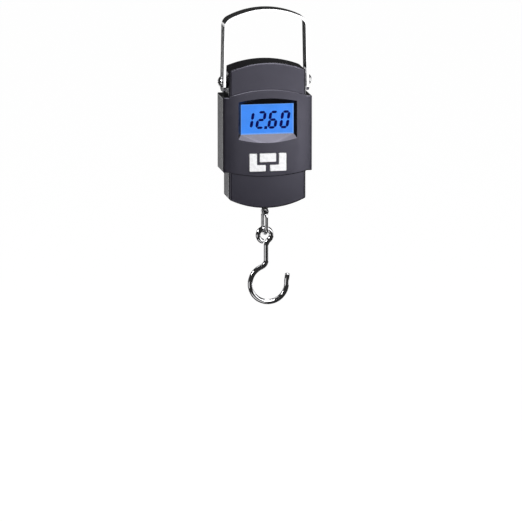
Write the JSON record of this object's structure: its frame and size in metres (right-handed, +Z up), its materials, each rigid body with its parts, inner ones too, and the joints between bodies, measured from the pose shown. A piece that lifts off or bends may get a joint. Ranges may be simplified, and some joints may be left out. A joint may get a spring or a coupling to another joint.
{
  "type": "digital hanging scale",
  "caption": "Hand-held digital hanging scale: steel bail handle on a dark two-piece housing with a display and keys, and a hook on a wire link.",
  "frame": {"origin": "the grip point, at the underside of the middle of the handle's top bar, where a hand or a peg carries the scale", "axes": "+Z up along the pull line, -Y the front with the display and the keys, +X to the right seen from the front"},
  "size_m": [0.0738, 0.029, 0.2335],
  "materials": {
    "polished_steel": "polished nickel-plated steel, fine draw lines",
    "screw_steel": "polished domed heads",
    "washer_plastic": "moulded nylon",
    "front_plastic": "satin charcoal moulding with a fine eggshell texture",
    "rear_plastic": "gloss black moulding",
    "key_plastic": "silver-white painted keys",
    "window": "clear moulded window",
    "lcd": "blue backlit display with dark digits",
    "light_guide": "frosted light guide",
    "board": "green solder mask",
    "black_resin": "potting resin",
    "switch_plastic": "moulded switch bodies",
    "black_rubber": "soft black rubber",
    "aluminium": "milled",
    "gauge_foil": "foil on polyimide",
    "zinc_steel": "zinc plated",
    "battery_sleeve": "printed sleeve, plain",
    "spring_steel": "nickel-plated wire"
  },
  "bodies": {
    "handle": {"handle": "polished_steel"},
    "housing": {"handle_screws": "screw_steel", "handle_washers": "washer_plastic", "front_cover": "front_plastic", "rear_cover": "rear_plastic", "case_screws": "zinc_steel", "display_window": "window", "lcd_panel": "lcd", "backlight": "light_guide", "zebra_strip": "black_rubber", "circuit_board": "board", "control_chip": "black_resin", "key_switches": "switch_plastic", "buzzer": "switch_plastic", "cross_bar": "zinc_steel", "load_cell": "aluminium", "strain_gauges": "gauge_foil", "cell_bolt": "zinc_steel", "pull_rod": "polished_steel", "rod_nut": "zinc_steel", "rod_bush": "black_rubber", "batteries": "battery_sleeve", "battery_springs": "spring_steel", "battery_plates": "spring_steel"},
    "power_button": {"power_button": "key_plastic"},
    "unit_button": {"unit_button": "key_plastic"},
    "tare_button": {"tare_button": "key_plastic"},
    "battery_door": {"battery_door": "rear_plastic"},
    "link": {"link": "polished_steel"},
    "hook": {"hook": "polished_steel"}
  },
  "joints": [
    {"name": "handle_swing", "type": "hinge", "parent": "handle", "child": "housing", "pos_m": [0, 0, -0.055], "axis": [1, 0, 0], "range_deg": [-95, 95]},
    {"name": "power_press", "type": "slide", "parent": "housing", "child": "power_button", "axis": [0, 1, 0], "range_m": [0, 0.0006], "stiffness_N_per_m": 1500, "springref_m": -0.0005},
    {"name": "unit_press", "type": "slide", "parent": "housing", "child": "unit_button", "axis": [0, 1, 0], "range_m": [0, 0.0006], "stiffness_N_per_m": 1500, "springref_m": -0.0005},
    {"name": "tare_press", "type": "slide", "parent": "housing", "child": "tare_button", "axis": [0, 1, 0], "range_m": [0, 0.0006], "stiffness_N_per_m": 1500, "springref_m": -0.0005},
    {"name": "door_hinge", "type": "hinge", "parent": "housing", "child": "battery_door", "pos_m": [0, 0.0131, -0.1201], "axis": [-1, 0, 0], "range_deg": [0, 80]},
    {"name": "link_swing", "type": "hinge", "parent": "housing", "child": "link", "pos_m": [0, 0, -0.158], "axis": [-0.2079, 0.9781, 0], "range_deg": [-70, 70]},
    {"name": "hook_swing", "type": "hinge", "parent": "link", "child": "hook", "pos_m": [0, 0, -0.1713], "axis": [1, 0, 0], "range_deg": [-80, 80]}
  ]
}
